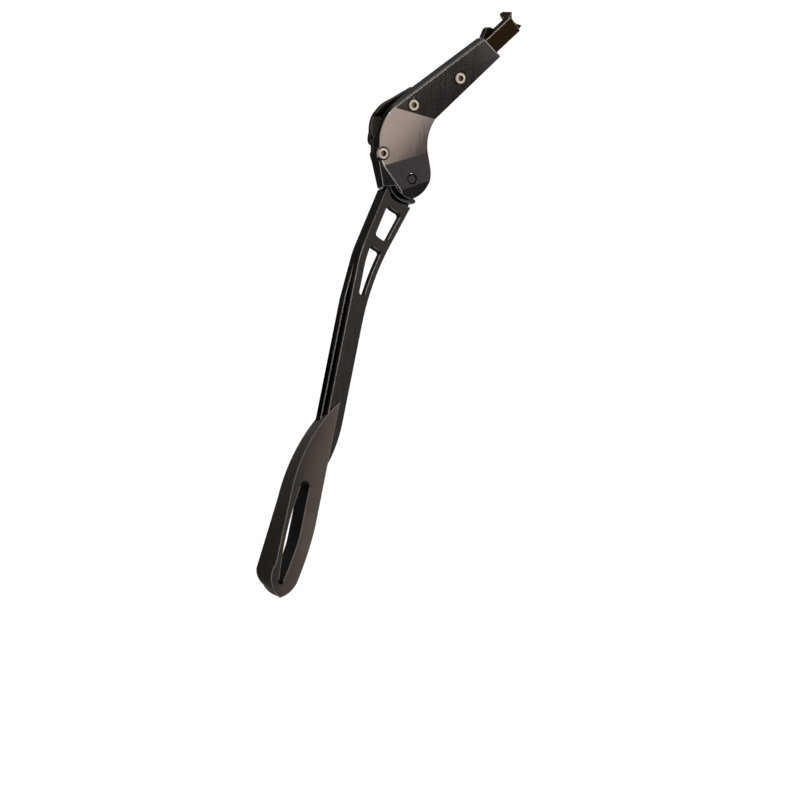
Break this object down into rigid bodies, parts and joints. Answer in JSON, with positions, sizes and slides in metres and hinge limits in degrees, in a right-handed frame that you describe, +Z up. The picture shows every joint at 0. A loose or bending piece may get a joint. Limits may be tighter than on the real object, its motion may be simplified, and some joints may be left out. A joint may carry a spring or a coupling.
{
  "type": "bicycle kickstand",
  "caption": "Rear-triangle bicycle kickstand: clamp head with sliding seatstay hook, windowed swing leg on a splayed pivot, and a foot that slides on a rack to set the length.",
  "frame": {"origin": "on the chainstay's axis, in the middle of the clamp's length", "axes": "+X along the chainstay to the rear of the bicycle, +Y inwards to the wheel, +Z up"},
  "size_m": [0.2373, 0.0805, 0.4164],
  "materials": {
    "black_alloy": "black anodised, brushed",
    "hook_alloy": "brown-black anodised",
    "bolt_steel": "stainless",
    "pin_steel": "black oxide",
    "spring_steel": "spring steel",
    "bush_bronze": "sintered bronze",
    "washer_plastic": "nylon",
    "pad_rubber": "moulded rubber",
    "foot_plastic": "satin moulded"
  },
  "bodies": {
    "head": {"head_body": "black_alloy", "rear_jaw": "black_alloy", "clamp_pad_front": "pad_rubber", "clamp_pad_rear": "pad_rubber", "clamp_bolt_lower": "bolt_steel", "clamp_bolt_middle": "bolt_steel", "clamp_bolt_upper": "bolt_steel", "pivot_pin": "pin_steel", "thrust_washer_outer": "washer_plastic", "thrust_washer_inner": "washer_plastic", "detent_spring": "spring_steel"},
    "hook": {"seatstay_hook": "hook_alloy"},
    "leg": {"leg": "black_alloy", "pivot_bush": "bush_bronze", "foot_stop_pin": "spring_steel"},
    "foot": {"foot": "foot_plastic", "latch_spring": "spring_steel"}
  },
  "joints": [
    {"name": "leg_pivot", "type": "hinge", "parent": "head", "child": "leg", "pos_m": [0.005, -0.017, -0.037], "axis": [0, -0.9848, 0.1736], "range_deg": [0, 100], "deforming": ["detent_spring"]},
    {"name": "foot_slide", "type": "slide", "parent": "leg", "child": "foot", "axis": [-0.3007, -0.1656, -0.9392], "range_m": [-0.033, 0.015], "deforming": ["latch_spring"]},
    {"name": "hook_slide", "type": "slide", "parent": "head", "child": "hook", "axis": [0.7738, 0, 0.6334], "range_m": [-0.004, 0.012]}
  ]
}
